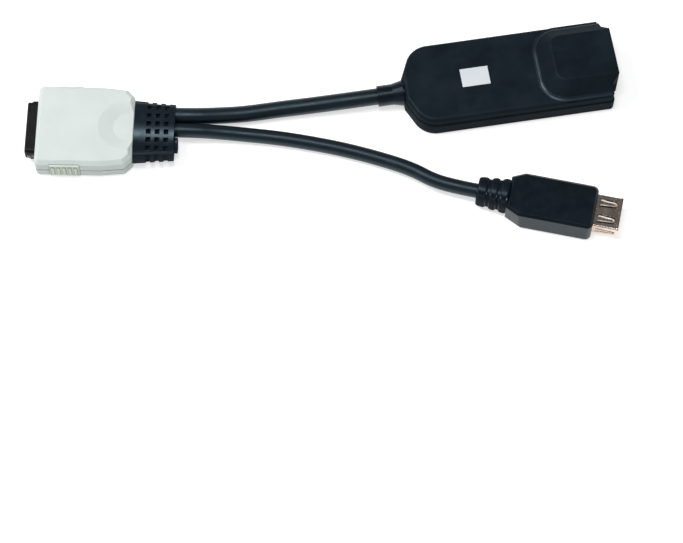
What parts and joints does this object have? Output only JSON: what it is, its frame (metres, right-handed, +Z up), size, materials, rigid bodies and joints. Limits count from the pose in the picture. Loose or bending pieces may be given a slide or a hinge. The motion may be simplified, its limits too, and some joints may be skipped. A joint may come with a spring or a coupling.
{
  "type": "kvm dongle",
  "caption": "Keyboard, video and mouse adapter lead: a server plug on a forked cable with a network adapter box and a USB socket.",
  "frame": {"origin": "centre of the adapter box's flat underside, on the surface that the part lies on", "axes": "+X along the adapter box towards its network jack, +Z up out of the surface"},
  "size_m": [0.2203, 0.0902, 0.0154],
  "materials": {
    "adapter_plastic": "fine satin texture",
    "plug_plastic": "satin",
    "button_plastic": "satin, ribbed",
    "connector_plastic": "satin",
    "soft_black": "satin, moulded",
    "cable_black": "semi-gloss jacket",
    "latch_steel": "satin",
    "screw_steel": "dark",
    "gold_contact": "polished",
    "nickel_shell": "bright nickel",
    "board_laminate": "solder mask",
    "chip_epoxy": "matt",
    "header_nylon": "satin",
    "wire_insulation": "satin"
  },
  "bodies": {
    "casing": {"adapter_top_cover": "adapter_plastic", "adapter_bottom_cover": "adapter_plastic", "cover_screws": "screw_steel", "adapter_circuit_board": "board_laminate", "processor_chip": "chip_epoxy", "board_components": "chip_epoxy", "cable_header": "header_nylon", "adapter_strain_relief": "soft_black", "adapter_wires": "wire_insulation", "network_jack_housing": "connector_plastic", "network_jack_contacts": "gold_contact", "network_jack_shield": "nickel_shell", "plug_upper_shell": "plug_plastic", "plug_lower_shell": "plug_plastic", "plug_connector_housing": "connector_plastic", "plug_contacts": "gold_contact", "plug_wires": "wire_insulation", "plug_strain_relief": "soft_black", "usb_overmould": "soft_black", "usb_shell": "nickel_shell", "usb_insulator": "connector_plastic", "usb_contacts": "gold_contact", "adapter_cable": "cable_black", "usb_cable": "cable_black"},
    "left_button": {"release_button_left": "button_plastic"},
    "right_button": {"release_button_right": "button_plastic"},
    "left_latch": {"latch_left": "latch_steel"},
    "right_latch": {"latch_right": "latch_steel"}
  },
  "joints": [
    {"name": "left_button_press", "type": "slide", "parent": "casing", "child": "left_button", "axis": [-0.1788, -0.9839, 0], "range_m": [0, 0.0008], "stiffness_N_per_m": 500, "springref_m": -0.0006},
    {"name": "right_button_press", "type": "slide", "parent": "casing", "child": "right_button", "axis": [0.1788, 0.9839, 0], "range_m": [0, 0.0008], "stiffness_N_per_m": 500, "springref_m": -0.0006},
    {"name": "left_latch_turn", "type": "hinge", "parent": "casing", "child": "left_latch", "pos_m": [-0.14861, 0.01169, 0.00525], "axis": [0, 0, 1], "range_deg": [0, 3.6]},
    {"name": "right_latch_turn", "type": "hinge", "parent": "casing", "child": "right_latch", "pos_m": [-0.15236, -0.00897, 0.00525], "axis": [0, 0, -1], "range_deg": [0, 3.6]}
  ],
  "couplings": [
    {"joint": "left_latch_turn", "follows": "left_button_press", "rad_per_m": 76.923},
    {"joint": "right_latch_turn", "follows": "right_button_press", "rad_per_m": 76.923}
  ]
}
